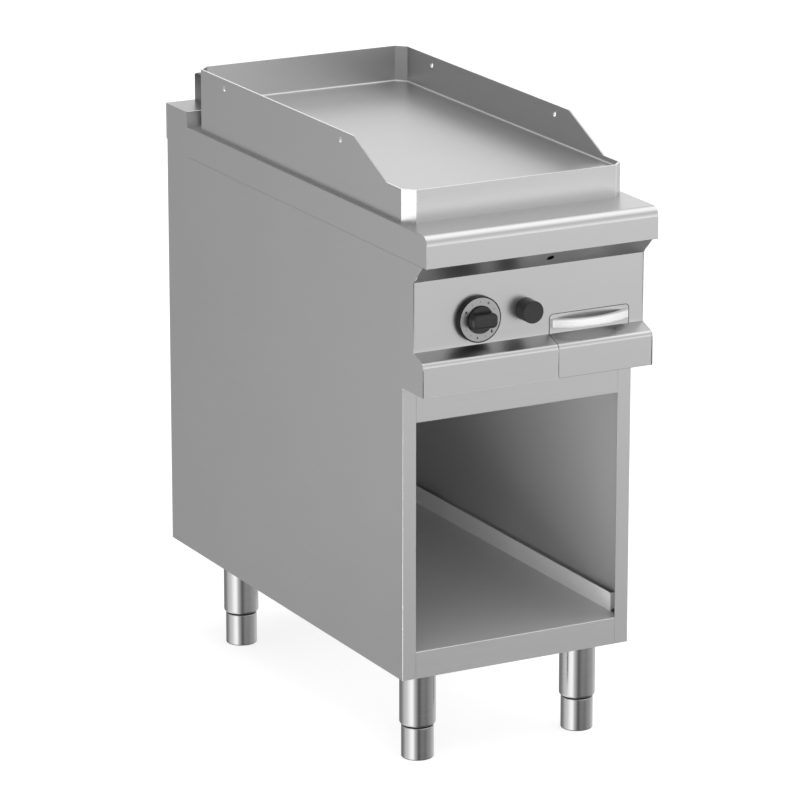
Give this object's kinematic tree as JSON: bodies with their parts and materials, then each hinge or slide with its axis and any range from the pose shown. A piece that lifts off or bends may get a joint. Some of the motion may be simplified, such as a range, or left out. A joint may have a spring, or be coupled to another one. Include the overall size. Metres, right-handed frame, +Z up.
{
  "type": "gas griddle",
  "caption": "Free-standing gas griddle module: steel plate in a walled tray over an open base cabinet, with gas knob, igniter button, grease drawer and screw feet.",
  "frame": {"origin": "on the floor, under the middle of the module's overall box", "axes": "+X to the right seen from the front, +Y to the rear, +Z up"},
  "size_m": [0.4, 0.9, 0.971],
  "materials": {
    "stainless": "satin brushed",
    "griddle_steel": "ground",
    "guard_steel": "satin",
    "handle_steel": "polished satin",
    "leg_steel": "turned satin",
    "fastener_steel": "bright",
    "inner_steel": "mill",
    "burner_steel": "heat stained",
    "black_plastic": "moulded",
    "dial_aluminium": "satin",
    "valve_alloy": "cast",
    "brass": "turned",
    "ceramic": "glazed",
    "lead_rubber": "silicone"
  },
  "bodies": {
    "cabinet": {"left_side_panel": "stainless", "right_side_panel": "stainless", "back_panel": "stainless", "bay_back_panel": "stainless", "bay_ceiling": "stainless", "front_top_rail": "stainless", "base_shelf": "stainless", "worktop": "stainless", "rear_upstand": "stainless", "flue_outlet": "stainless", "control_panel": "stainless", "griddle_plate": "griddle_steel", "splash_guard": "guard_steel", "front_left_leg": "leg_steel", "front_right_leg": "leg_steel", "rear_left_leg": "leg_steel", "rear_right_leg": "leg_steel", "back_screws": "fastener_steel", "leg_bolts": "fastener_steel", "front_cross_member": "inner_steel", "rear_cross_member": "inner_steel", "left_drawer_runner": "inner_steel", "right_drawer_runner": "inner_steel", "grease_chute": "inner_steel", "inlet_bracket": "inner_steel", "supply_pipe": "inner_steel", "burner_pipe": "inner_steel", "pilot_burner": "inner_steel", "front_burner_bracket": "inner_steel", "rear_burner_bracket": "inner_steel", "firebox": "burner_steel", "flue_duct": "burner_steel", "burner": "burner_steel", "dial_ring": "black_plastic", "igniter_body": "black_plastic", "dial_plate": "dial_aluminium", "gas_valve": "valve_alloy", "injector": "brass", "gas_inlet": "brass", "thermocouple": "brass", "pilot_pipe": "brass", "spark_electrode": "ceramic", "ignition_lead": "lead_rubber"},
    "drawer": {"drawer_front": "stainless", "grease_pan": "inner_steel", "drawer_handle": "handle_steel", "handle_screws": "fastener_steel"},
    "valve_stem": {"valve_sleeve": "fastener_steel"},
    "knob": {"knob_grip": "black_plastic", "valve_spindle": "fastener_steel"},
    "igniter_button": {"igniter_button": "black_plastic"},
    "front_left_foot": {"front_left_foot": "leg_steel"},
    "front_right_foot": {"front_right_foot": "leg_steel"},
    "rear_left_foot": {"rear_left_foot": "leg_steel"},
    "rear_right_foot": {"rear_right_foot": "leg_steel"}
  },
  "joints": [
    {"name": "drawer_slide", "type": "slide", "parent": "cabinet", "child": "drawer", "axis": [0, -1, 0], "range_m": [0, 0.26]},
    {"name": "knob_push", "type": "slide", "parent": "cabinet", "child": "valve_stem", "axis": [0, 1, 0], "range_m": [0, 0.004], "stiffness_N_per_m": 1500, "springref_m": -0.004},
    {"name": "knob_turn", "type": "hinge", "parent": "valve_stem", "child": "knob", "pos_m": [-0.091, -0.408, 0.722], "axis": [0, -1, 0], "range_deg": [0, 270]},
    {"name": "igniter_push", "type": "slide", "parent": "cabinet", "child": "igniter_button", "axis": [0, 1, 0], "range_m": [0, 0.006], "stiffness_N_per_m": 2500, "springref_m": -0.004},
    {"name": "front_left_foot_screw", "type": "slide", "parent": "cabinet", "child": "front_left_foot", "axis": [0, 0, -1], "range_m": [0, 0.045]},
    {"name": "front_right_foot_screw", "type": "slide", "parent": "cabinet", "child": "front_right_foot", "axis": [0, 0, -1], "range_m": [0, 0.045]},
    {"name": "rear_left_foot_screw", "type": "slide", "parent": "cabinet", "child": "rear_left_foot", "axis": [0, 0, -1], "range_m": [0, 0.045]},
    {"name": "rear_right_foot_screw", "type": "slide", "parent": "cabinet", "child": "rear_right_foot", "axis": [0, 0, -1], "range_m": [0, 0.045]}
  ]
}
